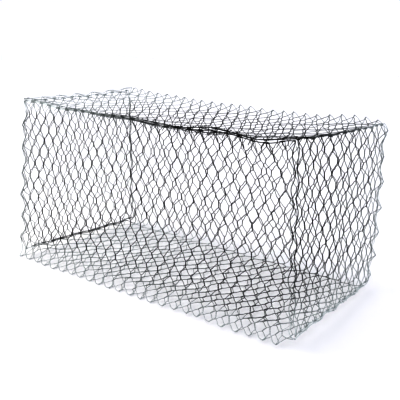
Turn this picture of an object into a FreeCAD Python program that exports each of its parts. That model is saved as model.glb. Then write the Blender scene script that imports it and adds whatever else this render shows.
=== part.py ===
import FreeCAD, Part
import math
import os
from FreeCAD import Vector

# Gabion basket: one sheet of hexagonal wire mesh folded into front, base, back and lid, and two end
# panels laced into it. Millimetres. X runs along the basket, Y from front to back and Z up. The origin
# is at the middle of the underside. The hexagons are drawn about two and a half times the real 80 mm
# ones, with wires of the real thickness: a real basket has some 1700 of them.

# Outside of the folded sheet, over its edge wires
length = 2000.0
depth = 1000.0
height = 1000.0
fold_radius = 30.0
half_fold_flats = 1

# Wires. A twist is two mesh wires wide.
mesh_wire = 2.7
edge_wire = 3.4
lacing_wire = 2.2

# Hexagons. A row is one line of twists across a panel.
cells_long = 10
cells_deep = 5
rows_high = 5
rows_deep = 5
twist_length = 95.0

# Clearances
lid_gap = 0.3
fold_gap = 0.6
wrap_gap = 0.1
lacing_slack = 0.7

# Lacing wire rises this much from the start of a loop to its end, and its tails run past the last loops.
loop_rise = 8.0
lacing_tail = 45.0

# Planes through the middle of the sheet. The base stands on the lacing loops that pass under it.
edge_half = edge_wire / 2
twist_half = mesh_wire
wrap_radius = edge_half + wrap_gap + mesh_wire
base_lift = lacing_wire + lacing_slack
front_y = -depth / 2 + edge_half
back_y = depth / 2 - edge_half
base_z = base_lift + edge_half
lid_z = height - edge_half
front_selvedge_z = lid_z - 2 * wrap_radius - lid_gap
sheet_half = length / 2 - edge_wire

# Folds: their centre lines, and the length of sheet that goes round each
fold_mid = fold_radius - edge_half
fold_arc = fold_mid * math.pi / 2
front_fold_y = -depth / 2 + fold_radius
back_fold_y = depth / 2 - fold_radius
low_fold_z = base_lift + fold_radius
top_fold_z = height - fold_radius
flats_per_fold = 2 * half_fold_flats + 1

# End panels: their edge wire runs inside the folded sheet, next to the sheet's own edge wire.
end_inset = edge_wire + lid_gap
end_x = length / 2 - 1.5 * edge_wire
end_front_y = front_y + end_inset
end_back_y = back_y - end_inset
end_base_z = base_z + end_inset
end_top_z = lid_z - end_inset
end_fold = fold_mid - end_inset
end_half = end_back_y - edge_half

# A lacing loop passes outside both edge wires and inside the last wires of both meshes.
loop_out = lacing_slack + lacing_wire / 2
loop_width = loop_out + 2 * edge_wire + lacing_slack + lacing_wire / 2
loop_depth = loop_out + edge_half + end_inset + edge_half + mesh_wire + lacing_slack + lacing_wire / 2


def turn(y, z, radius, start, end):
    """Points (y, z) round a fold, in flats. Angles are in degrees, from +Y towards +Z."""
    angles = [math.radians(start + (end - start) * i / flats_per_fold) for i in range(flats_per_fold + 1)]
    return [(y + radius * math.cos(a), z + radius * math.sin(a)) for a in angles]


def half_turn(radius, start, end):
    """The top fold from the back, 0 to 90 degrees, or from the lid, 90 to 0, up to the gap in its middle."""
    points = turn(back_fold_y, top_fold_z, radius, start, end)
    (y0, z0), (y1, z1) = points[half_fold_flats], points[half_fold_flats + 1]
    share = 0.5 - fold_gap / 2 / math.hypot(y1 - y0, z1 - z0)
    return points[:half_fold_flats + 1] + [(y0 + share * (y1 - y0), z0 + share * (z1 - z0))]


def face_of(points):
    return Part.Face(Part.makePolygon(points + points[:1]))


def wire_along(path, thickness, sides):
    """A wire that follows path, mitred at its bends, with so many flats round it, that far apart."""
    runs = [(b - a).normalize() for a, b in zip(path, path[1:])]
    across = runs[0].cross(Vector(0, 0, 1) if abs(runs[0].z) < 0.9 else Vector(1, 0, 0)).normalize()
    up = runs[0].cross(across)
    angles = [2 * math.pi * (i + 0.5) / sides for i in range(sides)]
    corner = thickness / 2 / math.cos(math.pi / sides)
    ring = [path[0] + (across * math.cos(a) + up * math.sin(a)) * corner for a in angles]
    rings = []
    for i, point in enumerate(path):
        before = runs[max(i - 1, 0)]
        mitre = before + runs[min(i, len(runs) - 1)]
        ring = [p + before * ((point - p).dot(mitre) / before.dot(mitre)) for p in ring]
        rings.append(ring)
    faces = [face_of(rings[0]), face_of(rings[-1])]
    for near, far in zip(rings, rings[1:]):
        for i in range(sides):
            faces.append(face_of([near[i - 1], near[i], far[i], far[i - 1]]))
    return Part.Solid(Part.Shell(faces))


def gap(u, v, pitch, row_pitch):
    """A hexagonal gap: twists two wires wide at its sides, single wires along its slopes."""
    half = pitch / 2
    rise = row_pitch - twist_length
    slope = math.hypot(rise, half)
    shoulder = twist_length / 2 + (rise * twist_half - mesh_wire / 2 * slope) / half
    tip = twist_length / 2 + rise - mesh_wire / 2 * slope / half
    side = half - twist_half
    corners = [(side, shoulder), (0, tip), (-side, shoulder), (-side, -shoulder), (0, -tip), (side, -shoulder)]
    return face_of([Vector(u + cu, v + cv, -mesh_wire) for cu, cv in corners])


def twists(half_width, cells, row):
    """Where a row's twists stand across a sheet. Odd rows stand half a cell over."""
    pitch = 2 * half_width / cells
    if row % 2:
        return [-half_width + (i + 0.5) * pitch for i in range(cells)]
    return [-half_width + i * pitch for i in range(cells + 1)]


def mesh(outline, half_width, cells, row_ends, rows, first):
    """Flat mesh in the XY plane. Rows run along Y between row_ends, and first is the first row's number."""
    row_pitch = (row_ends[1] - row_ends[0]) / rows
    gaps = []
    for row in range(rows + 1):
        for u in twists(half_width, cells, first + row + 1):
            opening = gap(u, row_ends[0] + row * row_pitch, 2 * half_width / cells, row_pitch)
            gaps.append(opening.extrude(Vector(0, 0, 2 * mesh_wire)))
    plate = face_of([Vector(u, v, -mesh_wire / 2) for u, v in outline]).extrude(Vector(0, 0, mesh_wire))
    return plate.cut(Part.makeCompound(gaps))


def sheet_panel(low, high, row_ends, rows, first):
    outline = [(-sheet_half, low), (sheet_half, low), (sheet_half, high), (-sheet_half, high)]
    return mesh(outline, sheet_half, cells_long, row_ends, rows, first)


def upright(panel, y):
    """Stands a flat panel up on its first row, facing the front."""
    panel.rotate(Vector(0, 0, 0), Vector(1, 0, 0), 90)
    panel.translate(Vector(0, y, 0))
    return panel


def folded_twists(way_round, row):
    """A row of twists where they go round a fold. way_round gives the points at a radius."""
    inner = way_round(fold_mid - mesh_wire / 2)
    outer = way_round(fold_mid + mesh_wire / 2)
    strips = []
    for u in twists(sheet_half, cells_long, row):
        left = max(u - twist_half, -sheet_half)
        right = min(u + twist_half, sheet_half)
        section = face_of([Vector(left, *point) for point in inner + outer[::-1]])
        strips.append(section.extrude(Vector(right - left, 0, 0)))
    return strips


def wraps(y, z, row):
    """The cut ends of the twists, wound round a selvedge wire. The last ones go round the edge wires."""
    collars = []
    for u in twists(sheet_half, cells_long, row):
        if abs(u) > sheet_half - twist_half:
            continue
        ends = [Vector(u - twist_half, y, z), Vector(u + twist_half, y, z)]
        bore = wire_along(ends, edge_wire + 2 * wrap_gap, 4)
        collars.append(wire_along(ends, 2 * wrap_radius, 8).cut(bore))
    return collars


def body_mesh():
    """Front, base and back: one folded sheet, with its first row at the front fold."""
    half_arc = fold_arc / 2
    rows_up = (low_fold_z - half_arc, front_selvedge_z)
    front = sheet_panel(low_fold_z, front_selvedge_z - edge_half - wrap_gap, rows_up, rows_high, 0)
    rows_across = (front_fold_y - half_arc, back_fold_y + half_arc)
    base = sheet_panel(front_fold_y, back_fold_y, rows_across, rows_deep, 0)
    rows_up = (low_fold_z - half_arc, top_fold_z + half_arc)
    back = sheet_panel(low_fold_z, top_fold_z, rows_up, rows_high, rows_deep)
    base.translate(Vector(0, 0, base_z))
    strips = folded_twists(lambda radius: turn(front_fold_y, low_fold_z, radius, 180, 270), 0)
    strips += folded_twists(lambda radius: turn(back_fold_y, low_fold_z, radius, 270, 360), rows_deep)
    strips += folded_twists(lambda radius: half_turn(radius, 0, 90), rows_deep + rows_high)
    ends = wraps(front_y, front_selvedge_z, rows_high)
    return upright(front, front_y).fuse([base, upright(back, back_y)] + strips + ends).removeSplitter()


def lid_mesh():
    """The same sheet from the middle of its top fold to the lid's front edge."""
    first = rows_deep + rows_high
    row_ends = (-back_fold_y - fold_arc / 2, -front_y)
    lid = sheet_panel(-back_fold_y, -front_y - edge_half - wrap_gap, row_ends, rows_deep, first)
    lid.rotate(Vector(0, 0, 0), Vector(1, 0, 0), 180)
    lid.translate(Vector(0, 0, lid_z))
    strips = folded_twists(lambda radius: half_turn(radius, 90, 0), first)
    return lid.fuse(strips + wraps(front_y, lid_z, first + rows_deep)).removeSplitter()


def end_mesh(side):
    """An end panel's mesh. side is -1 at the left end and 1 at the right."""
    inner = end_fold - edge_half
    low, high = end_base_z + edge_half, end_top_z - edge_half
    # The corners are cut straight across, inside the rounding of the edge wire.
    outline = [(-end_half, high)]
    outline += [(-end_half, low + inner), (-end_half + inner, low)]
    outline += [(end_half - inner, low), (end_half, low + inner)]
    outline += [(end_half, high - inner), (end_half - inner, high)]
    panel = mesh(outline, end_half, cells_deep, (end_base_z, end_top_z), rows_high, 0)
    panel.rotate(Vector(0, 0, 0), Vector(1, 0, 0), 90)
    panel.rotate(Vector(0, 0, 0), Vector(0, 0, 1), 90)
    panel.translate(Vector(side * end_x, 0, 0))
    return panel


def edge_wire_along(x, path):
    return wire_along([Vector(x, y, z) for y, z in path], edge_wire, 8)


def body_edge_wire(side):
    """The thick wire woven into one side of the sheet: down the front, under the base and up the back."""
    path = [(front_y, front_selvedge_z + edge_half)]
    path += turn(front_fold_y, low_fold_z, fold_mid, 180, 270)
    path += turn(back_fold_y, low_fold_z, fold_mid, 270, 360)
    path += half_turn(fold_mid, 0, 90)
    return edge_wire_along(side * (length / 2 - edge_half), path)


def lid_edge_wire(side):
    """The same wire past the top fold, along one side of the lid."""
    path = [(-depth / 2, lid_z)] + half_turn(fold_mid, 90, 0)
    return edge_wire_along(side * (length / 2 - edge_half), path)


def end_edge_wire(side):
    """The wire round an end panel. Its two ends meet at the top front corner."""
    path = [(end_front_y, end_top_z - edge_half - lid_gap)]
    path += turn(end_front_y + end_fold, end_base_z + end_fold, end_fold, 180, 270)
    path += turn(end_back_y - end_fold, end_base_z + end_fold, end_fold, 270, 360)
    path += turn(end_back_y - end_fold, end_top_z - end_fold, end_fold, 0, 90)
    path.append((end_front_y - edge_half, end_top_z))
    return edge_wire_along(side * end_x, path)


def selvedge(z):
    """A straight thick wire between the edge wires, which the cut ends of the mesh are wound round."""
    return wire_along([Vector(-sheet_half, front_y, z), Vector(sheet_half, front_y, z)], edge_wire, 8)


def lacing(place, low, high, loops):
    """Lacing wire with so many loops between low and high. place puts (across, inward, along) on the basket."""
    pitch = (high - low) / loops
    starts = [low + (i + 0.5) * pitch for i in range(loops)]
    corners = [(0, 0), (loop_width, 0), (loop_width, loop_depth), (0, loop_depth)]
    path = [place(0, 0, starts[0] - lacing_tail)]
    for at in starts:
        path += [place(across, inward, at) for across, inward in corners]
        path.append(place(0, loop_depth, at + loop_rise))
        path.append(place(0, 0, at + loop_rise))
    path.append(place(0, 0, starts[-1] + loop_rise + lacing_tail))
    return wire_along(path, lacing_wire, 4)


def corner_lacing(side, facing):
    """Lacing up a vertical corner. facing is -1 at the front and 1 at the back."""
    x = side * (length / 2 + loop_out)
    y = facing * (depth / 2 + loop_out)
    return lacing(lambda across, inward, along: Vector(x - side * across, y - facing * inward, along),
                  end_base_z, end_top_z, rows_high - 1)


def base_lacing(side):
    """Lacing along one end of the base. Its loops stand between the rows, clear of the twists at the edge."""
    x = side * (length / 2 + loop_out)
    z = base_lift - loop_out
    return lacing(lambda across, inward, along: Vector(x - side * across, along, z + inward),
                  end_front_y, end_back_y, rows_deep)


def pieces():
    yield "body_mesh", body_mesh()
    yield "lid_mesh", lid_mesh()
    yield "front_top_selvedge", selvedge(front_selvedge_z)
    yield "lid_front_selvedge", selvedge(lid_z)
    for name, side in (("left", -1), ("right", 1)):
        yield name + "_end_mesh", end_mesh(side)
        yield name + "_end_edge_wire", end_edge_wire(side)
        yield name + "_body_edge_wire", body_edge_wire(side)
        yield name + "_lid_edge_wire", lid_edge_wire(side)
        yield name + "_front_lacing", corner_lacing(side, -1)
        yield name + "_back_lacing", corner_lacing(side, 1)
        yield name + "_base_lacing", base_lacing(side)


os.makedirs("parts", exist_ok=True)
for name, shape in pieces():
    shape.exportStep("parts/" + name + ".step")
    print(name, "solids", len(shape.Solids), "valid", shape.isValid(), "volume", round(shape.Volume, 1))
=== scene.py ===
import bpy
import math
import numpy as np
from mathutils import Matrix, Vector


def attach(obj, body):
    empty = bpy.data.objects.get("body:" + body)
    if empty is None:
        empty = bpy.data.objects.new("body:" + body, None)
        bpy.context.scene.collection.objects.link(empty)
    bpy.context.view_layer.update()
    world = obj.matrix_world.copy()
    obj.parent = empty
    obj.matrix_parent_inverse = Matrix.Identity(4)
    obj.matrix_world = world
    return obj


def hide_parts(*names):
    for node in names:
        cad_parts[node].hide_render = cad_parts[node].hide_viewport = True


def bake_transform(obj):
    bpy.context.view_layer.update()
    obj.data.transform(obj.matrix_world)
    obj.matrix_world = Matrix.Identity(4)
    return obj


# Empty gabion basket: one sheet of hexagonal wire weave, folded into front, base, back and lid, and two
# end panels that are laced in. Geometry Nodes lay flat lengths of weave, which are then bent round the
# folds and settled into the flared, sagging shape of the real basket. Everything is in metres.

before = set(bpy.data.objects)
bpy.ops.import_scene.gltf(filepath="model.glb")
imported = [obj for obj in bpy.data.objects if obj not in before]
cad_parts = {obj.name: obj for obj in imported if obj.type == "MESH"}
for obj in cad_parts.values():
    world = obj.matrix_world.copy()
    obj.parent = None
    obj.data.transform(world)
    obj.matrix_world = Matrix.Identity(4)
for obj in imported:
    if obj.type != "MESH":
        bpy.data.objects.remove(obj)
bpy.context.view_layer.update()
print("frame loaded")

# Wire radii, the sides of a drawn wire, how finely it is drawn, and how far it runs past the weave
wires = {"mesh": 0.0017, "edge": 0.0018, "lacing": 0.0011, "meshSides": 4, "edgeSides": 10, "lacingSides": 8,
         "pathStep": 0.006, "edgeStep": 0.012, "foldStep": 0.005, "lacingStep": 0.0055, "past": 0.002}
roundEdge = wires["edge"] + wires["mesh"]  # from an edge wire's middle to that of a wire wound round it

# The folded sheet: its middle as a box in the YZ plane, its weave, and how finely its line is laid
sheet = {"half": 0.9983, "front": -0.4983, "back": 0.4983, "base": 0.0046, "lid": 0.9983, "frontTop": 0.989,
         "bend": 0.0283, "cells": 25, "rows": 54, "twist": 0.034, "tails": 1.0,
         "lineStep": 0.004, "bendPoints": 24, "past": 0.02, "selvedgePoints": 260}
foldsAtRow = {"frontLow": 14, "backLow": 29, "backTop": 41}

# How far the folds stand proud of the box: (towards y, towards z, reach along the sheet)
proudFolds = {"frontLow": (-0.030, -0.050, 0.05), "backLow": (0.018, -0.042, 0.05),
              "backTop": (0.012, 0.026, 0.04)}
rightEndTuck = {"reach": 0.075, "left": 0.12, "fade": 1.5}  # they stand less proud at the right end


def unit(rows):
    return rows / np.linalg.norm(rows, axis=-1, keepdims=True)


def runAlong(line):
    return np.r_[0, np.cumsum(np.linalg.norm(np.diff(line, axis=0), axis=1))]


def bell(off, reach):
    return np.exp(-(off / reach) ** 2)


def rise(value, start, over):
    # 0 up to start, then up to 1 over a length
    return np.clip((value - start) / over, 0, 1)


def fall(value, end, over):
    # 1 at first, then down to 0 at the end
    return np.clip((end - value) / over, 0, 1)


def roundFold(centreY, centreZ, start, end):
    angles = np.radians(np.linspace(start, end, sheet["bendPoints"]))
    return np.column_stack([centreY + sheet["bend"] * np.cos(angles), centreZ + sheet["bend"] * np.sin(angles)])


def straight(first, last):
    steps = max(2, int(math.dist(first, last) / sheet["lineStep"]))
    return np.linspace(first, last, steps)


def layLine():
    # the sheet's line from the front selvedge down, under, up the back and over to the lid's selvedge
    r, past = sheet["bend"], sheet["past"]
    low, top = sheet["base"] + r, sheet["lid"] - r
    front, back = sheet["front"] + r, sheet["back"] - r
    legs = [straight((sheet["front"], sheet["frontTop"] + past), (sheet["front"], low)),
            roundFold(front, low, 180, 270),
            straight((front, sheet["base"]), (back, sheet["base"])),
            roundFold(back, low, 270, 360),
            straight((sheet["back"], low), (sheet["back"], top)),
            roundFold(back, top, 0, 90),
            straight((back, sheet["lid"]), (sheet["front"] - past, sheet["lid"]))]
    line = np.vstack(legs)
    line = line[np.r_[True, np.diff(runAlong(line)) > 1e-6]]  # where two legs meet, one point stays
    run = runAlong(line)
    places = {}
    for name, leg in (("frontLow", 1), ("backLow", 3), ("backTop", 5)):
        middle = legs[leg][sheet["bendPoints"] // 2]
        places[name] = np.argmin(np.linalg.norm(line - middle, axis=1))
    moved = line.copy()
    for name, (outY, outZ, reach) in proudFolds.items():
        felt = bell(run - run[places[name]], reach)
        moved[:, 0] += outY * felt
        moved[:, 1] += outZ * felt
    run = runAlong(moved) - past
    return run, line, moved, unit(np.gradient(moved, axis=0)), run[-1] - past, places


lineRun, linePlain, linePoints, lineAim, sheetLength, foldPlaces = layLine()
sheetRows, sheetWidth = sheet["rows"], 2 * sheet["half"]
sheetPitch, sheetCell = sheetLength / sheetRows, sheetWidth / sheet["cells"]
frontLowAt, backLowAt = (foldsAtRow[name] * sheetPitch for name in ("frontLow", "backLow"))
topFoldAt = lineRun[foldPlaces["backTop"]]
# Where the wires part at the end of a twist, they stand on the outside of a fold: rows and their place
rowsFlat = np.array([0, foldsAtRow["frontLow"], foldsAtRow["backTop"], sheetRows]) * sheetPitch
rowsReal = np.array([0, lineRun[foldPlaces["frontLow"]] + sheet["twist"] / 2, topFoldAt + sheet["twist"] / 2,
                     sheetLength])
print("sheet", round(sheetLength, 3), "m along,", sheetRows, "rows of", round(sheetPitch * 1000, 1), "mm")

# Where the eight corners stand in the empty basket, off a true box (x, y, z)
cornerShifts = {"leftFrontTop": (0.026, 0.030, 0.024), "rightFrontTop": (-0.034, -0.013, 0.030),
                "rightBackTop": (-0.022, -0.009, 0.002), "leftBackTop": (0.003, 0.004, 0.020),
                "leftFrontLow": (-0.007, -0.012, 0.036), "rightFrontLow": (0.008, 0.003, 0.052),
                "rightBackLow": (-0.040, -0.008, 0.042), "leftBackLow": (0.025, 0.024, 0.040)}
cornerGrid = np.array([[[cornerShifts[a + b + c] for c in ("Low", "Top")] for b in ("Front", "Back")]
                       for a in ("left", "right")])
cornersReach = {"x": 0.02, "y": 0.06, "z": 0.06}  # how far outside the box their pull still grows

# Sags between the corners; lidLowest is where the lid hangs lowest, as a share from front to back
sags = {"lidFront": 0.017, "lidBack": 0.028, "lidMiddle": 0.070, "lidLowest": 0.36, "base": 0.036,
        "frontBow": 0.014, "endBow": 0.008}
# How steeply each sag fades, as a power
fades = {"edges": 3, "lidEnds": 0.7, "flats": 20, "baseEnds": 8, "baseSides": 6, "walls": 8, "ends": 9}

# The wires' wander: waves of (height, length), each the sum of two that cross
wanders = {"seed": 11, "share": 0.7, "waves": [(0.0030, 0.62), (0.0028, 0.27), (0.0032, 0.13)]}

# The weave's middle stays above floor, and tips flatten off above top; soft is the length that it takes
limits = {"floor": 0.0054, "floorSoft": 0.004, "top": 1.034, "topSoft": 0.007}


def wander(points):
    rng = np.random.default_rng(wanders["seed"])
    out = np.zeros_like(points)
    for size, wave in wanders["waves"]:
        for axis in range(3):
            aim = unit(rng.normal(size=(2, 3)))
            start = rng.uniform(0, math.tau, 2)
            for k in range(2):
                out[:, axis] += size * wanders["share"] * np.sin(points @ aim[k] * math.tau / wave + start[k])
    return out


def share(place, first, last, reach):
    # how far along a place is from first to last, and a little beyond them
    return np.clip((place - first) / (last - first), -reach, 1 + reach)


def settle(points, offMiddle=0.0):
    # offMiddle is how far each point stands above the middle of its weave
    points = np.asarray(points, float)
    x, y, z = points.T
    a = share(x, -sheet["half"], sheet["half"], cornersReach["x"])
    b = share(y, -sheet["back"], sheet["back"], cornersReach["y"])
    c = share(z, sheet["base"], sheet["lid"], cornersReach["z"])
    moved = points.copy()
    for i, partX in enumerate((1 - a, a)):
        for j, partY in enumerate((1 - b, b)):
            for k, partZ in enumerate((1 - c, c)):
                moved += (partX * partY * partZ)[:, None] * cornerGrid[i, j, k]
    arch = np.clip(1 - (2 * a - 1) ** 2, 0, 1)
    across = np.clip(1 - (2 * b - 1) ** 2, 0, 1)
    inside, up = np.clip(b, 0, 1), np.clip(c, 0, 1)
    moved[:, 2] -= arch * up ** fades["edges"] * ((1 - b) * sags["lidFront"] + b * sags["lidBack"])
    lowest = sags["lidLowest"]
    hollow = 1 - np.where(b > lowest, (b - lowest) / (1 - lowest), (lowest - b) / lowest) ** 2
    moved[:, 2] -= sags["lidMiddle"] * arch ** fades["lidEnds"] * np.clip(hollow, 0, 1) * up ** fades["flats"]
    flat = (np.clip(1 - (2 * a - 1) ** fades["baseEnds"], 0, 1)
            * np.clip(1 - (2 * b - 1) ** fades["baseSides"], 0, 1))
    moved[:, 2] -= sags["base"] * flat * (1 - up) ** fades["flats"]
    upright = 4 * up * (1 - up)
    moved[:, 1] += sags["frontBow"] * arch * upright * (inside ** fades["walls"] - (1 - inside) ** fades["walls"])
    moved[:, 0] += sags["endBow"] * (2 * a - 1) ** fades["ends"] * upright * across
    moved += wander(points)
    # nothing goes through the floor: the middle of the weave flattens out just above it
    soft = limits["floorSoft"]
    middle = moved[:, 2] - offMiddle - limits["floor"]
    moved[:, 2] += np.where(middle < soft, soft * np.exp(np.minimum(middle - soft, 0) / soft) - middle, 0)
    # and the highest tips flatten off
    over = np.maximum(moved[:, 2] - limits["top"], 0)
    moved[:, 2] += limits["topSoft"] * (1 - np.exp(-over / limits["topSoft"])) - over
    return moved


# How far into the weave an edge wire's zigzag is felt, in cells, and how it fades
edgePull = {"reach": 1.6, "fade": 1.5}

# The sheet's edge wires zigzag by swing, from out outside the weave. They are calmer along the base, and
# from a row of the back onwards; frontEnd is how far along the sheet its front edges reach.
sheetEdge = {"swing": 0.041, "out": 0.020, "fadeOver": 0.1, "baseCalm": 0.85, "baseEarly": 0.07,
             "upperCalm": 0.5, "upperRow": 34, "upperOver": 0.3, "frontEnd": 1.12}

# At the right front corner the sheet's and the end panel's edge wires are drawn in, apart from each other,
# and swing less. At the left back corner they swing less too, and the sheet's stands out while the end
# panel's is drawn in. At the left front corner they only swing a little less.
cornerEdges = {"calm": 0.55, "leftFrontCalm": 0.25, "sheetIn": 0.019, "endIn": 0.009, "leftBackOut": 0.014}

# The twists lean a little, more towards the right end (metres at the ends of a twist)
lean = {"left": 0.0010, "right": 0.0034, "ends": 0.0020}

# Both front edges dip near their right end. The lid's also droops and waves, and the lid's left side lifts.
# Deep is how far behind the edge each is felt.
frontEdges = {"dip": 0.030, "dipAt": 0.85, "dipLeft": 0.17, "dipRight": 0.085, "dipDeep": 0.12, "dipOfLid": 0.9,
              "droop": 0.0035, "droopDeep": 0.03, "lift": 0.010, "liftWide": 0.05, "liftOver": 0.06,
              "wave": 0.010, "waveLength": 0.43, "waveFrom": 0.7, "waveOver": 0.4, "waveDeep": 0.06}


def nearEdge(off, cell):
    return np.clip(1 - off / (edgePull["reach"] * cell), 0, 1) ** edgePull["fade"]


def clearOfEdges(off, width, cell):
    return np.clip(np.minimum(off, width - off) / cell, 0, 1)


def foldSheet(flat):
    # u runs to the right, s along the sheet from the front selvedge, n out of the weave
    u, s, n = np.asarray(flat, float).T
    edge, fade = sheetEdge, sheetEdge["fadeOver"]
    onBase = rise(s, frontLowAt - edge["baseEarly"], fade) * fall(s, backLowAt, fade)
    onBack = rise(s, backLowAt, fade) * fall(s, topFoldAt, fade)
    onFront = fall(s, edge["frontEnd"], fade)
    swing = edge["swing"] * (1 - np.cos(math.pi * s / sheetPitch)) / 2 - edge["out"]
    swing = swing * (1 - edge["baseCalm"] * onBase
                     - edge["upperCalm"] * rise(s, edge["upperRow"] * sheetPitch, edge["upperOver"]))
    rightSwing = swing * (1 - cornerEdges["calm"] * onFront) + cornerEdges["sheetIn"] * onFront
    leftSwing = (swing * (1 - cornerEdges["calm"] * onBack - cornerEdges["leftFrontCalm"] * onFront)
                 - cornerEdges["leftBackOut"] * onBack)
    pull = leftSwing * nearEdge(u, sheetCell) - rightSwing * nearEdge(sheetWidth - u, sheetCell)
    tilt = lean["left"] + (lean["right"] - lean["left"]) * u / sheetWidth
    pull += tilt * np.sin(math.tau * s / sheetPitch) * clearOfEdges(u, sheetWidth, sheetCell)

    s = np.interp(s, rowsFlat, rowsReal) + np.minimum(s, 0) + np.maximum(s - sheetLength, 0)
    atRight = np.clip(1 - (sheetWidth - u) / rightEndTuck["reach"], 0, 1) ** rightEndTuck["fade"]
    proud = 1 - (1 - rightEndTuck["left"]) * atRight
    y, z = (proud * np.interp(s, lineRun, linePoints[:, i]) + (1 - proud) * np.interp(s, lineRun, linePlain[:, i])
            for i in (0, 1))
    aimY, aimZ = (np.interp(s, lineRun, lineAim[:, i]) for i in (0, 1))

    toLidEdge = sheetLength - s
    front = frontEdges
    off = u - sheet["half"] - front["dipAt"]
    dip = front["dip"] * bell(off, np.where(off < 0, front["dipLeft"], front["dipRight"]))
    dip = dip * (bell(s, front["dipDeep"]) + front["dipOfLid"] * bell(toLidEdge, front["dipDeep"]))
    dip += front["droop"] * bell(toLidEdge, front["droopDeep"])
    lift = front["lift"] * bell(u, front["liftWide"]) * rise(s, topFoldAt, front["liftOver"])
    wave = (1 - np.cos(math.tau * u / front["waveLength"])) / 2 * rise(u, front["waveFrom"], front["waveOver"])
    lift += front["wave"] * wave * bell(toLidEdge, front["waveDeep"])
    points = np.column_stack([u - sheet["half"] + pull, y - n * aimZ, z + n * aimY - dip + lift])
    return settle(points, n * aimY)


# End panels: an edge wire bent into a loop and filled with weave. Its zigzag drifts against the rows
# up to driftTo, and corner is the loop's radius.
endPanel = {"x": 0.9949, "half": 0.4949, "low": 0.0145, "high": 0.9946, "cells": 12.5, "rows": 14,
            "twist": 0.034, "tails": 0.3, "swing": 0.032, "out": 0.011, "drift": 0.85, "driftTo": 0.7,
            "corner": 0.014, "cornerPoints": 7}
endWidth, endHeight = 2 * endPanel["half"], endPanel["high"] - endPanel["low"]
endCell, endPitch = endWidth / endPanel["cells"], endHeight / endPanel["rows"]


def standEnd(flat, side):
    # v runs from front to back, w upwards, n to the right
    v, w, n = np.asarray(flat, float).T
    swing, out = endPanel["swing"] / 2, endPanel["out"]
    wave = np.cos(math.pi * (w / endPitch + endPanel["drift"] * np.clip(1 - w / endPanel["driftTo"], 0, 1)))
    if side > 0:
        frontCalm, frontIn, backCalm, backIn = cornerEdges["calm"], cornerEdges["endIn"], 0, 0
    else:
        frontCalm, frontIn = cornerEdges["leftFrontCalm"], 0
        backCalm, backIn = cornerEdges["calm"], cornerEdges["leftBackOut"]
    pull = (((swing * (1 - wave) - out) * (1 - frontCalm) + frontIn) * nearEdge(v, endCell)
            - ((swing * (1 + wave) - out) * (1 - backCalm) + backIn) * nearEdge(endWidth - v, endCell))
    pull -= side * lean["ends"] * np.sin(math.tau * w / endPitch) * clearOfEdges(v, endWidth, endCell)
    x = np.full_like(v, side * endPanel["x"]) + n
    return settle(np.column_stack([x, v + pull - endPanel["half"], w + endPanel["low"]]))


class Knob:
    # wraps a socket, so that shader and geometry maths reads as plain expressions
    def __init__(self, tree, socket):
        self.tree = tree
        self.socket = socket

    def work(self, operation, other=0.0, flip=False):
        pair = (other, self) if flip else (self, other)
        node = addNode(self.tree, "ShaderNodeMath", {"operation": operation}, dict(enumerate(pair)))
        return Knob(self.tree, node.outputs[0])

    def between(self, first, full):
        node = addNode(self.tree, "ShaderNodeMapRange", {}, {"Value": self, "From Min": first, "From Max": full})
        return Knob(self.tree, node.outputs["Result"])

    def __add__(self, other): return self.work("ADD", other)
    def __radd__(self, other): return self.work("ADD", other, True)
    def __sub__(self, other): return self.work("SUBTRACT", other)
    def __rsub__(self, other): return self.work("SUBTRACT", other, True)
    def __mul__(self, other): return self.work("MULTIPLY", other)
    def __rmul__(self, other): return self.work("MULTIPLY", other, True)
    def __truediv__(self, other): return self.work("DIVIDE", other)
    def __rtruediv__(self, other): return self.work("DIVIDE", other, True)
    def __lt__(self, other): return self.work("LESS_THAN", other)
    def __gt__(self, other): return self.work("GREATER_THAN", other)


def addNode(tree, kind, settings, values):
    node = tree.nodes.new(kind)
    for name, value in settings.items():
        if name == "stops":
            ramp = node.color_ramp
            while len(ramp.elements) < len(value):
                ramp.elements.new(0.5)
            for element, (place, colour) in zip(ramp.elements, value):
                element.position = place
                element.color = colour
        else:
            setattr(node, name, value)
    for name, value in values.items():
        if isinstance(value, Knob):
            tree.links.new(value.socket, node.inputs[name])
        elif isinstance(value, bpy.types.NodeSocket):
            tree.links.new(value, node.inputs[name])
        elif isinstance(value, list):  # several links into one socket
            for one in value:
                tree.links.new(one, node.inputs[name])
        else:
            node.inputs[name].default_value = value
    return node


def splitPlace(tree, vector):
    apart = addNode(tree, "ShaderNodeSeparateXYZ", {}, {"Vector": vector})
    return {axis.lower(): Knob(tree, apart.outputs[axis]) for axis in "XYZ"}


def newTree(name, inputs):
    tree = bpy.data.node_groups.new(name, "GeometryNodeTree")
    tree.interface.new_socket("Geometry", in_out="INPUT", socket_type="NodeSocketGeometry")
    for label, kind in inputs:
        tree.interface.new_socket(label, in_out="INPUT", socket_type="NodeSocket" + kind)
    tree.interface.new_socket("Geometry", in_out="OUTPUT", socket_type="NodeSocketGeometry")
    entry = tree.nodes.new("NodeGroupInput")
    knobs = {label: Knob(tree, entry.outputs[label]) for label, _ in inputs}
    return tree, entry.outputs["Geometry"], knobs


def closeTree(tree, geometry, material):
    whole = addNode(tree, "GeometryNodeRealizeInstances", {}, {"Geometry": geometry})
    smooth = addNode(tree, "GeometryNodeSetShadeSmooth", {}, {"Geometry": whole.outputs["Geometry"]})
    painted = addNode(tree, "GeometryNodeSetMaterial", {},
                      {"Geometry": smooth.outputs["Geometry"], "Material": material})
    out = tree.nodes.new("NodeGroupOutput")
    tree.links.new(painted.outputs["Geometry"], out.inputs["Geometry"])


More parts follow.
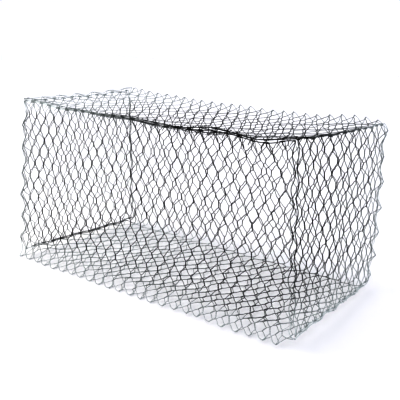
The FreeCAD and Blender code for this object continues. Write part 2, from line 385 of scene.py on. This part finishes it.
def grow(name, base, tree, settings):
    # runs a tree on a base mesh and keeps the result as a plain mesh
    carrier = bpy.data.objects.new(name + "Carrier", base)
    bpy.context.scene.collection.objects.link(carrier)
    modifier = carrier.modifiers.new("grow", "NODES")
    modifier.node_group = tree
    sockets = {item.name: item.identifier for item in tree.interface.items_tree if item.in_out == "INPUT"}
    for label, value in settings.items():
        modifier[sockets[label]] = value
    bpy.context.view_layer.update()
    graph = bpy.context.evaluated_depsgraph_get()
    mesh = bpy.data.meshes.new_from_object(carrier.evaluated_get(graph))
    mesh.name = name
    carrier.modifiers.remove(modifier)
    bpy.data.objects.remove(carrier)
    bpy.data.meshes.remove(base)
    return mesh


def meshFrom(name, points, faces=(), edges=()):
    mesh = bpy.data.meshes.new(name)
    mesh.from_pydata([tuple(p) for p in points], list(edges), list(faces))
    mesh.update()
    return mesh


def coordsOf(mesh):
    flat = np.empty(len(mesh.vertices) * 3)
    mesh.vertices.foreach_get("co", flat)
    return flat.reshape(-1, 3)


def bendMesh(mesh, place):
    mesh.vertices.foreach_set("co", np.ascontiguousarray(place(coordsOf(mesh))).ravel())
    mesh.update()


# Painted light: in these places the wires are painted lighter, as where they catch the light. Each place is
# the product of its parts: (axis, where it starts, where it is complete).
litPlaces = [
    [("x", -0.84, -1.02), ("y", 1.0, -1.3), ("z", 0.05, 0.16)],  # left end, above the base
    [("x", -0.90, -1.0), ("y", 0.2, 1.4)],  # its back edge
    [("x", 0.25, -0.75), ("z", 0.93, 0.97)],  # left half of the top
    [("x", 0.35, -1.00), ("z", 0.95, 0.97), ("y", -0.40, -0.46)],  # front edges there
    [("z", 0.95, 0.985), ("y", -0.52, -0.20), ("x", 1.6, -0.6)],  # lid, behind its front edge
    [("y", 0.40, 0.50), ("z", 0.90, 0.98)],  # top back fold
    [("x", 0.90, 1.0), ("y", -0.2, 0.46)],  # right end, towards the back
    [("y", -0.22, -0.50), ("z", 0.20, 0.05)],  # front bottom fold
    [("x", 0.88, 0.96), ("y", -0.25, 0.50), ("z", 0.93, 0.97)],  # lid's right edge
    [("x", 0.60, 1.0), ("z", 0.40, 0.10)]]  # foot of the right end
# painted light: the base's wires painted lighter towards the left end
litBasePlace = [("x", 0.95, -0.75), ("z", 0.07, 0.03)]

# How the grain is mixed: the shares of specks and flakes, the patches that break up the painted light, and the
# bump
zincGrain = {"speck": 0.75, "flake": 0.35, "patchSwing": 0.6, "patchLeast": 0.7, "bump": 0.35, "depth": 0.0004}


def zincWire(name, look):
    material = bpy.data.materials.new(name)
    material.use_nodes = True
    tree = material.node_tree
    tree.nodes.clear()
    place = addNode(tree, "ShaderNodeTexCoord", {}, {}).outputs["Object"]

    def noise(scale, detail, roughness):
        node = addNode(tree, "ShaderNodeTexNoise", {}, {"Vector": place, "Scale": scale, "Detail": detail,
                                                        "Roughness": roughness})
        return Knob(tree, node.outputs["Fac"])

    def ramp(stops, value):
        return addNode(tree, "ShaderNodeValToRGB", {"stops": stops}, {"Fac": value}).outputs["Color"]

    cloud = noise(look["cloudScale"], detail=5.0, roughness=0.6)
    speck = noise(look["speckScale"], detail=3.0, roughness=0.7)
    flake = addNode(tree, "ShaderNodeTexVoronoi", {}, {"Vector": place, "Scale": look["flakeScale"]})
    spots = speck * zincGrain["speck"] + Knob(tree, flake.outputs["Distance"]) * zincGrain["flake"]
    mixed = addNode(tree, "ShaderNodeMix", {"data_type": "RGBA", "blend_type": "MULTIPLY"},
                    {0: 1.0, 6: ramp(look["tones"], cloud), 7: ramp(look["spots"], spots)}).outputs[2]
    axes = splitPlace(tree, place)
    # how much painted light each point gets, broken into patches by the cloud
    litShare = None
    for parts in litPlaces + look["alsoLit"]:
        reach = None
        for axis, first, full in parts:
            step = axes[axis].between(first, full)
            reach = step if reach is None else reach * step
        litShare = reach if litShare is None else litShare.work("MAXIMUM", reach)
    litShare = litShare * (cloud * zincGrain["patchSwing"] + zincGrain["patchLeast"])
    mixed = addNode(tree, "ShaderNodeMix", {"data_type": "RGBA"},
                    {0: litShare.between(0.0, 1.0), 6: mixed, 7: look["litTone"]}).outputs[2]
    bump = addNode(tree, "ShaderNodeBump", {}, {"Strength": zincGrain["bump"], "Distance": zincGrain["depth"],
                                                "Height": spots})
    surface = addNode(tree, "ShaderNodeBsdfPrincipled", {}, {
        "Base Color": mixed, "Roughness": speck * look["roughSwing"] + look["roughness"],
        "Metallic": look["metal"], "Normal": bump.outputs["Normal"]})
    out = tree.nodes.new("ShaderNodeOutputMaterial")
    tree.links.new(surface.outputs["BSDF"], out.inputs["Surface"])
    return material


def grey(level, blue=1.0):
    # zinc is a cool grey, a little short of red
    return (level * 0.94, level, level * blue, 1.0)


# What the three finishes share, and then what each has of its own
# litTone is the colour of the painted light
zincLook = {"alsoLit": [], "metal": 0.3, "roughSwing": 0.25, "spots": [(0.30, grey(0.62)), (0.62, grey(1.0))],
            "litTone": grey(0.74, 1.01)}
meshZinc = zincWire("meshZinc", {
    **zincLook, "alsoLit": [litBasePlace], "cloudScale": 9.0, "speckScale": 420.0, "flakeScale": 260.0,
    "roughness": 0.48, "tones": [(0.35, grey(0.006, 1.08)), (0.65, grey(0.020, 1.05))],
    "litTone": grey(0.58, 1.01)})
edgeZinc = zincWire("edgeZinc", {
    **zincLook, "cloudScale": 7.0, "speckScale": 380.0, "flakeScale": 230.0,
    "roughness": 0.50, "tones": [(0.35, grey(0.020, 1.06)), (0.65, grey(0.045, 1.04))]})
lacingZinc = zincWire("lacingZinc", {
    **zincLook, "cloudScale": 14.0, "speckScale": 520.0, "flakeScale": 300.0, "metal": 0.35,
    "roughness": 0.44, "tones": [(0.35, grey(0.090, 1.05)), (0.65, grey(0.160, 1.03))],
    "spots": [(0.30, grey(0.65)), (0.62, grey(1.0))]})
print("materials made")


def tubeMesh(name, strands, radius, sides):
    # ready-made tubes of wire for the weave to repeat
    points, faces = [], []
    turn = np.arange(sides) * math.tau / sides
    for line in strands:
        line = np.asarray(line, float)
        steps = unit(np.diff(line, axis=0))
        aims = unit(np.vstack([steps[:1], steps[:-1] + steps[1:], steps[-1:]]))
        side = np.cross(aims[0], (0.0, 0.0, 1.0))
        first = len(points)
        for point, aim in zip(line, aims):
            side = unit(side - aim * side.dot(aim))
            other = np.cross(aim, side)
            points += list(point + radius * (np.outer(np.cos(turn), side) + np.outer(np.sin(turn), other)))
        for ring in range(len(line) - 1):
            a = first + ring * sides
            b = a + sides
            faces += [(a + k, a + (k + 1) % sides, b + (k + 1) % sides, b + k) for k in range(sides)]
        last = first + (len(line) - 1) * sides
        faces.append(tuple(range(first + sides - 1, first - 1, -1)))
        faces.append(tuple(range(last, last + sides)))
    return meshFrom(name, points, faces)


# A double twist: its turns, and the shoulder where its wires round off towards the next row, as shares of
# a cell's width and of the height that is left
doubleTwist = {"turns": 1.5, "points": 7, "shoulderOut": 0.16, "shoulderUp": 0.46}


def twistStrands(cell, pitch, twist):
    r = wires["mesh"]
    shoulder = twist / 2 + doubleTwist["shoulderUp"] * (pitch - twist) / 2
    strands = []
    for sign in (1, -1):
        t = np.linspace(0, 1, doubleTwist["points"])
        phase = doubleTwist["turns"] * math.tau * t
        line = np.column_stack([-sign * r * np.cos(phase), (t - 0.5) * twist, sign * r * np.sin(phase)])
        start = [(-sign * cell / 4, -pitch / 2, 0), (-sign * cell * doubleTwist["shoulderOut"], -shoulder, 0)]
        end = [(sign * cell * doubleTwist["shoulderOut"], shoulder, 0), (sign * cell / 4, pitch / 2, 0)]
        strands.append(np.vstack([start, line, end]))
    return strands


# A mesh wire goes once round the edge wire, over this share of a twist's length
edgeTurn = {"points": 9, "share": 0.7}


def sideStrand(cell, pitch, twist, side):
    t = np.linspace(0, 1, edgeTurn["points"])
    phase = math.tau * t
    line = np.column_stack([side * roundEdge * np.cos(phase), (t - 0.5) * twist * edgeTurn["share"],
                            roundEdge * np.sin(phase)])
    return [np.vstack([(side * cell / 4, -pitch / 2, 0), line, (side * cell / 4, pitch / 2, 0)])]


# A cut end is wound round the selvedge in a coil that spreads along it. Its tail stands off by a length that
# differs between the first and the last row, and bends part of the way; below is how far it drops under
# the weave. Beside the coil runs halfTwist (from, to, points), or at an edge wire a straight lead-in.
cutEnd = {"turns": 1.8, "points": 13, "spread": 0.013, "firstTail": 0.033, "uneven": 0.010, "lastTail": 0.016,
          "aside": 0.5, "below": 0.010, "bendAt": 0.35, "bendAside": 0.004, "bendBelow": 0.008,
          "leadIn": (0.004, 0.012, 0.001), "halfTwist": (0.25, 1, 4)}


def endStrands(cell, pitch, twist, up, tails, sides=(-1, 1)):
    # up is 1 for the first row and -1 for the last
    r = wires["mesh"]
    strands = []
    for side in sides:
        t = np.linspace(0, 1, cutEnd["points"])
        phase = math.pi / 2 + cutEnd["turns"] * math.tau * (1 - t)
        coil = np.column_stack([side * (r + cutEnd["spread"] * (1 - t)), roundEdge * np.cos(phase) * up,
                                roundEdge * np.sin(phase)])
        cut = tails * (cutEnd["lastTail"] if up < 0 else cutEnd["firstTail"] + cutEnd["uneven"] * side)
        tip = coil[0] + (side * cutEnd["aside"] * cut, cut * up, -cutEnd["below"] * tails)
        bend = coil[0] + (side * cutEnd["bendAside"], cutEnd["bendAt"] * cut * up, -cutEnd["bendBelow"] * tails)
        if len(sides) == 1:
            leadX, leadY, leadZ = cutEnd["leadIn"]
            rest = np.array([(side * leadX, leadY * up, leadZ), (side * cell / 4, pitch / 2 * up, 0)])
        else:
            t = np.linspace(*cutEnd["halfTwist"])
            phase = doubleTwist["turns"] / 2 * math.tau * t
            rest = np.column_stack([side * r * np.cos(phase), t * twist / 2 * up, r * np.sin(phase) * side])
            out = 1 if rest[-1, 0] > 0 else -1
            rest = np.vstack([rest, (out * cell / 4, pitch / 2 * up, 0)])
        strands.append(np.vstack([tip, bend, coil, rest]))
    return strands


# The tree that lays rows of weave: every other row stands half a cell to the right
weaveTree, _, k = newTree("layWeave", [
    ("Twist", "Object"), ("Left", "Object"), ("Right", "Object"), ("Width", "Float"), ("Cell Width", "Float"),
    ("Cells", "Int"), ("Row Pitch", "Float"), ("First Row", "Int"), ("Rows", "Int"), ("Wire", "Material")])
grid = addNode(weaveTree, "GeometryNodeMeshGrid", {}, {
    "Size X": k["Cells"] * k["Cell Width"], "Size Y": (k["Rows"] - 1) * k["Row Pitch"],
    "Vertices X": k["Cells"] + 1, "Vertices Y": k["Rows"]})


def weavePlace():
    return splitPlace(weaveTree, addNode(weaveTree, "GeometryNodeInputPosition", {}, {}).outputs["Position"])


gridY = weavePlace()["y"]
# the small additions keep rounding errors away from the next whole number down
rowNumber = (gridY / k["Row Pitch"] + (k["Rows"] - 1) * 0.5 + 0.25).work("FLOOR") + k["First Row"]
oddRow = rowNumber - 2.0 * (rowNumber * 0.5 + 0.01).work("FLOOR")
offset = addNode(weaveTree, "ShaderNodeCombineXYZ", {}, {
    "X": k["Cells"] * k["Cell Width"] * 0.5 + oddRow * k["Cell Width"] * 0.5,
    "Y": rowNumber * k["Row Pitch"] - gridY})
moved = addNode(weaveTree, "GeometryNodeSetPosition", {},
                {"Geometry": grid.outputs["Mesh"], "Offset": offset.outputs["Vector"]}).outputs["Geometry"]
placeX = weavePlace()["x"]
quarter = k["Cell Width"] * 0.25
picks = {"Left": placeX < quarter,
         "Twist": (placeX > quarter) * (placeX < k["Width"] - quarter),
         "Right": (placeX > k["Width"] - quarter) * (placeX < k["Width"] + quarter)}
laid = []
for label, pick in picks.items():
    strand = addNode(weaveTree, "GeometryNodeObjectInfo", {}, {"Object": k[label]}).outputs["Geometry"]
    laid.append(addNode(weaveTree, "GeometryNodeInstanceOnPoints", {},
                        {"Points": moved, "Selection": pick, "Instance": strand}).outputs["Instances"])
joined = addNode(weaveTree, "GeometryNodeJoinGeometry", {}, {"Geometry": laid}).outputs["Geometry"]
closeTree(weaveTree, joined, k["Wire"])


# The tree that draws wire along a path, straight or wound in a coil
wireTree, pathIn, k = newTree("drawWire", [
    ("Wire Radius", "Float"), ("Coil Radius", "Float"), ("Coil Pitch", "Float"), ("Step", "Float"),
    ("Sides", "Int"), ("Wire", "Material")])


def onVectors(operation, values):
    return addNode(wireTree, "ShaderNodeVectorMath", {"operation": operation}, values).outputs["Vector"]


curve = addNode(wireTree, "GeometryNodeMeshToCurve", {}, {"Mesh": pathIn}).outputs["Curve"]
curve = addNode(wireTree, "GeometryNodeResampleCurve", {"mode": "LENGTH"},
                {"Curve": curve, "Length": k["Step"]}).outputs["Curve"]
aim = addNode(wireTree, "GeometryNodeInputTangent", {}, {}).outputs["Tangent"]
across = addNode(wireTree, "GeometryNodeInputNormal", {}, {}).outputs["Normal"]
over = onVectors("CROSS_PRODUCT", {0: aim, 1: across})
along = Knob(wireTree, addNode(wireTree, "GeometryNodeSplineParameter", {}, {}).outputs["Length"])
angle = along / k["Coil Pitch"] * math.tau
swing = onVectors("ADD", {
    0: onVectors("SCALE", {0: across, "Scale": angle.work("COSINE") * k["Coil Radius"]}),
    1: onVectors("SCALE", {0: over, "Scale": angle.work("SINE") * k["Coil Radius"]})})
curve = addNode(wireTree, "GeometryNodeSetPosition", {}, {"Geometry": curve, "Offset": swing}).outputs["Geometry"]
profile = addNode(wireTree, "GeometryNodeCurvePrimitiveCircle", {},
                  {"Resolution": k["Sides"], "Radius": k["Wire Radius"]}).outputs["Curve"]
drawn = addNode(wireTree, "GeometryNodeCurveToMesh", {},
                {"Curve": curve, "Profile Curve": profile, "Fill Caps": True}).outputs["Mesh"]
closeTree(wireTree, drawn, k["Wire"])
print("node trees built")

made = []


def finishPiece(name, mesh, slot, body, nodes):
    piece = bpy.data.objects.new(name, mesh)
    bpy.context.scene.collection.objects.link(piece)
    made.append((piece, slot, body, nodes))


def strandSet(name, cell, pitch, twist, tails):
    # tails is how long the cut ends stand out, against those of the selvedges
    sets = {"Twist": twistStrands(cell, pitch, twist),
            "Left": sideStrand(cell, pitch, twist, 1),
            "Right": sideStrand(cell, pitch, twist, -1)}
    for label, up in (("Start", 1), ("End", -1)):
        sets["Twist" + label] = endStrands(cell, pitch, twist, up, tails)
        sets["Left" + label] = endStrands(cell, pitch, twist, up, tails, (1,))
        sets["Right" + label] = endStrands(cell, pitch, twist, up, tails, (-1,))
    ready = {}
    for label, strands in sets.items():
        mesh = tubeMesh(name + label, strands, wires["mesh"], wires["meshSides"])
        ready[label] = bpy.data.objects.new(name + label, mesh)
    return ready


def weave(name, strands, width, cell, pitch, firstRow, lastRow, rows):
    # rows of weave as one flat mesh; the first and the last row of a sheet have wound ends
    spans = [(firstRow, lastRow, "")]
    if firstRow == 0:
        spans = [(0, 0, "Start"), (1, lastRow, "")]
    if lastRow == rows:
        spans = spans[:-1] + [(spans[-1][0], rows - 1, ""), (rows, rows, "End")]
    parts = []
    for first, last, ending in spans:
        parts.append(grow(name + ending, meshFrom(name + "Seed", [(0, 0, 0)]), weaveTree, {
            "Twist": strands["Twist" + ending], "Left": strands["Left" + ending],
            "Right": strands["Right" + ending], "Width": width, "Cell Width": cell,
            "Cells": int(math.ceil(width / cell)), "Row Pitch": pitch,
            "First Row": first, "Rows": last - first + 1, "Wire": meshZinc}))
    return parts[0] if len(parts) == 1 else joinMeshes(name, parts)


def joinMeshes(name, parts):
    points, faces, first = [], [], 0
    for mesh in parts:
        points.append(coordsOf(mesh))
        faces += [tuple(first + v for v in face.vertices) for face in mesh.polygons]
        first += len(mesh.vertices)
    whole = meshFrom(name, np.vstack(points), faces)
    whole.materials.append(meshZinc)
    whole.shade_smooth()
    return whole


def drawWire(name, paths, look, cyclic=False):
    edges, first = [], 0
    for path in paths:
        count = len(path)
        edges += [(first + i, first + i + 1) for i in range(count - 1)]
        if cyclic:
            edges.append((first + count - 1, first))
        first += count
    return grow(name, meshFrom(name + "Path", np.vstack(paths), edges=edges), wireTree, look)


def plainWire(kind, step):
    material = {"edge": edgeZinc, "lacing": lacingZinc}[kind]
    return {"Wire Radius": wires[kind], "Coil Radius": 0.0, "Coil Pitch": 1.0, "Step": wires[step],
            "Sides": wires[kind + "Sides"], "Wire": material}


# The sheet's pieces: which rows of twists belong to which, with two at the hinge that belong to no body
hingeRows = (40, 41)
spans = {"frontPanel": (0, foldsAtRow["frontLow"]),
         "basePanel": (foldsAtRow["frontLow"] + 1, foldsAtRow["backLow"] - 1),
         "backPanel": (foldsAtRow["backLow"], hingeRows[0] - 1),
         "topFold": hingeRows,
         "lidPanel": (hingeRows[1] + 1, sheetRows)}
foldStart = (hingeRows[0] - 0.5) * sheetPitch
foldEnd = (hingeRows[1] + 0.5) * sheetPitch
sheetBodies = {"topFold": None, "lidPanel": "lid"}
sheetStrands = strandSet("sheet", sheetCell, sheetPitch, sheet["twist"], sheet["tails"])
for name, (first, last) in spans.items():
    mesh = weave(name, sheetStrands, sheetWidth, sheetCell, sheetPitch, first, last, sheetRows)
    bendMesh(mesh, foldSheet)
    nodes = ("lid_mesh",) if name == "lidPanel" else ("body_mesh",)
    finishPiece(name, mesh, "mesh_wire", sheetBodies.get(name, "basket"), nodes)
    print(name, "rows", first, "to", last, len(mesh.polygons), "faces")


def sideLine(side, start, end):
    s = np.linspace(start, end, max(3, int((end - start) / wires["pathStep"])))
    u = np.full_like(s, 0.0 if side < 0 else sheetWidth)
    return foldSheet(np.column_stack([u, s, np.zeros_like(s)]))


def selvedgeLine(s):
    u = np.linspace(-wires["past"], sheetWidth + wires["past"], sheet["selvedgePoints"])
    return foldSheet(np.column_stack([u, np.full_like(u, s), np.zeros_like(u)]))


# Edge wires along the sheet's two sides, and the two selvedges
for side, word in ((-1, "left"), (1, "right")):
    mesh = drawWire(word + "BodyEdge", [sideLine(side, -wires["past"], foldStart)], plainWire("edge", "edgeStep"))
    finishPiece(word + "BodyEdge", mesh, "edge_wire", "basket", (word + "_body_edge_wire",))
    mesh = drawWire(word + "LidEdge", [sideLine(side, foldEnd, sheetLength + wires["past"])],
                    plainWire("edge", "edgeStep"))
    finishPiece(word + "LidEdge", mesh, "edge_wire", "lid", (word + "_lid_edge_wire",))
mesh = drawWire("foldEdges", [sideLine(-1, foldStart, foldEnd), sideLine(1, foldStart, foldEnd)],
                plainWire("edge", "foldStep"))
finishPiece("foldEdges", mesh, "edge_wire", None, ("left_body_edge_wire", "right_body_edge_wire"))
for name, s, body, node in (("frontSelvedge", 0.0, "basket", "front_top_selvedge"),
                            ("lidSelvedge", sheetLength, "lid", "lid_front_selvedge")):
    mesh = drawWire(name, [selvedgeLine(s)], plainWire("edge", "edgeStep"))
    finishPiece(name, mesh, "edge_wire", body, (node,))
print("edge wires and selvedges drawn")


def endLoop():
    # an end panel's edge wire, laid flat: a square with round corners
    r = endPanel["corner"]
    points = []
    for v, w, start in ((endWidth - r, r, -90), (endWidth - r, endHeight - r, 0),
                        (r, endHeight - r, 90), (r, r, 180)):
        angles = np.radians(np.linspace(start, start + 90, endPanel["cornerPoints"]))
        points.append(np.column_stack([v + r * np.cos(angles), w + r * np.sin(angles)]))
    loop = np.vstack(points + [points[0][:1]])
    run = runAlong(loop)
    stops = np.linspace(0, run[-1], int(run[-1] / wires["pathStep"]))[:-1]
    return np.column_stack([np.interp(stops, run, loop[:, 0]), np.interp(stops, run, loop[:, 1]),
                            np.zeros_like(stops)])


endStrandSet = strandSet("end", endCell, endPitch, endPanel["twist"], endPanel["tails"])
for side, word in ((-1, "left"), (1, "right")):
    rows = endPanel["rows"]
    mesh = weave(word + "EndPanel", endStrandSet, endWidth, endCell, endPitch, 0, rows, rows)
    bendMesh(mesh, lambda flat: standEnd(flat, side))
    finishPiece(word + "EndPanel", mesh, "mesh_wire", "basket", (word + "_end_mesh",))
    mesh = drawWire(word + "EndEdge", [standEnd(endLoop(), side)], plainWire("edge", "edgeStep"), cyclic=True)
    finishPiece(word + "EndEdge", mesh, "edge_wire", "basket", (word + "_end_edge_wire",))
print("end panels stood up")

# Lacing: thin wire wound round the sheet's edge wire and the end panel's together. From and to are shares
# of the edge; the base's lies a little lower than the end panel's wire, and the others outside it.
lacing = {"frontCoil": 0.0135, "backCoil": 0.0075, "baseCoil": 0.0082, "pitch": 0.146, "basePitch": 0.083,
          "from": 0.05, "to": 0.95, "points": 200, "outside": 0.0017, "baseDrop": 0.005}


def laceLine(side, where):
    t = np.linspace(lacing["from"], lacing["to"], lacing["points"])
    none = np.zeros_like(t)
    v = {"front": none, "back": np.full_like(t, endWidth), "base": t * endWidth}[where]
    w = none if where == "base" else t * endHeight
    line = standEnd(np.column_stack([v, w, none]), side)
    if where == "front":
        u = np.full_like(t, 0 if side < 0 else sheetWidth)
        s = sheet["frontTop"] - endPanel["low"] - w
        return (line + foldSheet(np.column_stack([u, s, none]))) / 2
    line[:, 0] += side * lacing["outside"]
    if where == "back":
        line[:, 1] += lacing["outside"]
    else:
        line[:, 2] = np.maximum(line[:, 2] - lacing["baseDrop"], lacing["baseCoil"] + wires["lacing"])
    return line


for side, word in ((-1, "left"), (1, "right")):
    for where in ("front", "back", "base"):
        look = plainWire("lacing", "lacingStep")
        look["Coil Radius"] = lacing[where + "Coil"]
        look["Coil Pitch"] = lacing["basePitch"] if where == "base" else lacing["pitch"]
        name = word + where.capitalize() + "Lacing"
        mesh = drawWire(name, [laceLine(side, where)], look)
        finishPiece(name, mesh, "lacing_wire", "basket", (word + "_" + where + "_lacing",))
print("lacing wound")


def at(s):
    # a point on the sheet's line
    return Vector((0.0, *(float(np.interp(s, lineRun, linePoints[:, i])) for i in (0, 1))))


# Each piece rides on its body, and those without one are left fixed in place
for piece, slot, body, nodes in made:
    if body:
        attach(piece, body)
    else:
        at(foldStart + 0.012)
        at(foldEnd - 0.012)
        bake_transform(piece)
    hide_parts(*nodes)
faceCount = {piece.name: sum(len(p.vertices) - 2 for p in piece.data.polygons) for piece, *_ in made}
print("triangles", sum(faceCount.values()), "most in a piece", max(faceCount.values()))

# Pale paper on the floor, an even sky, and a low gamma that keeps thin wires dark
studio = {"floorHalf": 18, "paper": (0.945, 0.945, 0.965, 1), "paperRoughness": 0.95,
          "sky": (0.985, 0.992, 1.03, 1), "skyStrength": 1.03, "lamps": (1.0, 0.92, 0.74), "gamma": 0.42}
half = studio["floorHalf"]
floor = bpy.data.objects.new("floor", meshFrom(
    "floor", [(-half, -half, 0), (half, -half, 0), (half, half, 0), (-half, half, 0)], [(0, 1, 2, 3)]))
bpy.context.scene.collection.objects.link(floor)
paper = bpy.data.materials.new("palePaper")
paper.use_nodes = True
paper.node_tree.nodes["Principled BSDF"].inputs["Base Color"].default_value = studio["paper"]
paper.node_tree.nodes["Principled BSDF"].inputs["Roughness"].default_value = studio["paperRoughness"]
floor.data.materials.append(paper)

world = bpy.data.worlds.new("studio")
world.use_nodes = True
world.node_tree.nodes["Background"].inputs["Color"].default_value = studio["sky"]
world.node_tree.nodes["Background"].inputs["Strength"].default_value = studio["skyStrength"]
bpy.context.scene.world = world

# Soft lamps that face the middle of the floor: (place, width, power)
lamps = {"overhead": ((-14.0, -5.0, 18.5), 12.0, 960), "leftFill": ((-1.7, -2.2, 1.8), 1.6, 14)}
for name, (place, width, power) in lamps.items():
    lamp = bpy.data.lights.new(name, "AREA")
    lamp.shape = "DISK"
    lamp.size = width
    lamp.energy = power
    lamp.color = studio["lamps"]
    holder = bpy.data.objects.new(name, lamp)
    holder.location = place
    holder.rotation_euler = (-Vector(place)).to_track_quat("-Z", "Y").to_euler()
    bpy.context.scene.collection.objects.link(holder)

# What the camera is: place, aim in degrees, and lens and sensor in millimetres
viewpoint = {"place": (2.3936, -3.1094, 1.5221), "yaw": -37.02, "pitch": -15.0, "roll": 1.66,
             "lens": 60.15, "sensor": 36.0}


def placeCamera(view):
    yaw, pitch, roll = (math.radians(view[name]) for name in ("yaw", "pitch", "roll"))
    ahead = Vector((math.sin(yaw) * math.cos(pitch), math.cos(yaw) * math.cos(pitch), math.sin(pitch)))
    right = ahead.cross(Vector((0, 0, 1))).normalized()
    up = right.cross(ahead)
    across = math.cos(roll) * right + math.sin(roll) * up
    above = math.cos(roll) * up - math.sin(roll) * right
    lens = bpy.data.cameras.new("viewer")
    lens.lens = view["lens"]
    lens.sensor_width = view["sensor"]
    holder = bpy.data.objects.new("viewer", lens)
    turned = Matrix((across, above, -ahead)).transposed().to_4x4()
    turned.translation = Vector(view["place"])
    holder.matrix_world = turned
    bpy.context.scene.collection.objects.link(holder)
    bpy.context.scene.camera = holder


placeCamera(viewpoint)
bpy.context.scene.view_settings.view_transform = "Standard"
bpy.context.scene.view_settings.gamma = studio["gamma"]
print("camera and light set")
